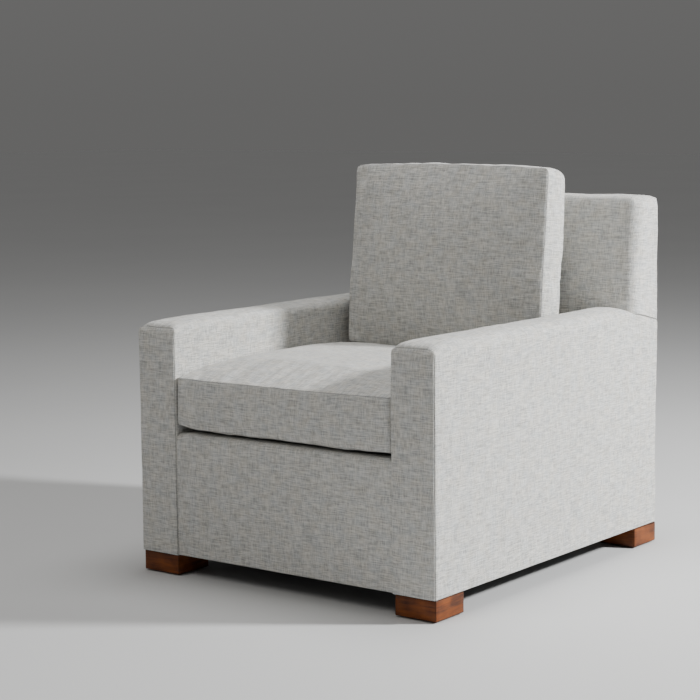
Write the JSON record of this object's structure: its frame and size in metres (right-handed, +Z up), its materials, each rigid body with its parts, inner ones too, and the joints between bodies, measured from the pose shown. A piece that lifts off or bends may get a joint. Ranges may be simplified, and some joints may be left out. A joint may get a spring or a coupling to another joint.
{
  "type": "upholstered armchair",
  "caption": "Fabric armchair with square arms, loose seat and back cushions, a sprung hardwood frame and wooden block feet.",
  "frame": {"origin": "on the floor, at the centre of the chair's footprint", "axes": "+X to the right as seen from the front, +Y towards the outside back, +Z up"},
  "size_m": [0.82, 0.932, 0.9113],
  "materials": {
    "upholstery": "heathered flat weave, light warm grey",
    "deck_cloth": "plain lining cloth",
    "dust_cloth": "black non-woven cloth",
    "hessian": "coarse jute weave",
    "padding": "white fibre wadding and foam",
    "fibre_wrap": "fluffy white polyester fibre",
    "foam_core": "open-cell foam, pale yellow",
    "frame_wood": "sawn hardwood, unfinished",
    "panel_board": "grey-brown fibre board",
    "foot_wood": "reddish-brown stained, satin lacquer",
    "spring_wire": "oiled spring steel",
    "clip_steel": "galvanised",
    "zinc_steel": "zinc plated",
    "glide_plastic": "matt black",
    "zip": "grey nylon chain on a woven tape",
    "slider_metal": "nickel plated"
  },
  "bodies": {
    "chair_frame": {"front_lower_rail": "frame_wood", "front_spring_rail": "frame_wood", "front_stiles": "frame_wood", "rear_lower_rail": "frame_wood", "rear_spring_rail": "frame_wood", "left_lower_side_rail": "frame_wood", "right_lower_side_rail": "frame_wood", "upper_side_rails": "frame_wood", "left_front_post": "frame_wood", "right_front_post": "frame_wood", "left_back_post": "frame_wood", "right_back_post": "frame_wood", "left_arm_top_board": "frame_wood", "right_arm_top_board": "frame_wood", "arm_tack_rails": "frame_wood", "top_back_rail": "frame_wood", "lower_back_rail": "frame_wood", "foot_blocks": "frame_wood", "arm_panels": "panel_board", "front_panel": "panel_board", "back_panel": "panel_board", "seat_springs": "spring_wire", "seat_spring_clips": "clip_steel", "spring_tie_wires": "spring_wire", "back_springs": "spring_wire", "back_spring_clips": "clip_steel", "seat_hessian": "hessian", "back_hessian": "hessian", "front_edge_roll": "padding", "deck_pad": "padding", "left_arm_padding": "padding", "right_arm_padding": "padding", "front_wadding": "padding", "back_padding": "padding", "outside_back_wadding": "padding", "left_arm_cover": "upholstery", "right_arm_cover": "upholstery", "front_band_cover": "upholstery", "deck_cloth": "deck_cloth", "inside_back_cover": "upholstery", "outside_back_cover": "upholstery", "dust_cover": "dust_cloth", "front_left_foot": "foot_wood", "front_right_foot": "foot_wood", "rear_left_foot": "foot_wood", "rear_right_foot": "foot_wood", "foot_bolts": "zinc_steel", "foot_tee_nuts": "zinc_steel", "foot_glides": "glide_plastic"},
    "seat_cushion": {"seat_cushion_cover": "upholstery", "seat_cushion_wrap": "fibre_wrap", "seat_cushion_core": "foam_core", "seat_cushion_zip": "zip"},
    "seat_zip_slider": {"seat_zip_slider": "slider_metal"},
    "back_cushion": {"back_cushion_cover": "upholstery", "back_cushion_wrap": "fibre_wrap", "back_cushion_core": "foam_core", "back_cushion_zip": "zip"},
    "back_zip_slider": {"back_zip_slider": "slider_metal"}
  },
  "joints": [
    {"name": "seat_cushion_pull_out", "type": "slide", "parent": "chair_frame", "child": "seat_cushion", "axis": [0, -1, 0], "range_m": [0, 0.74]},
    {"name": "seat_zip_run", "type": "slide", "parent": "seat_cushion", "child": "seat_zip_slider", "axis": [-1, 0, 0], "range_m": [0, 0.46]},
    {"name": "back_cushion_lift", "type": "slide", "parent": "chair_frame", "child": "back_cushion", "axis": [0, 0, 1], "range_m": [0, 0.46]},
    {"name": "back_zip_run", "type": "slide", "parent": "back_cushion", "child": "back_zip_slider", "axis": [-1, 0, 0], "range_m": [0, 0.46]}
  ]
}
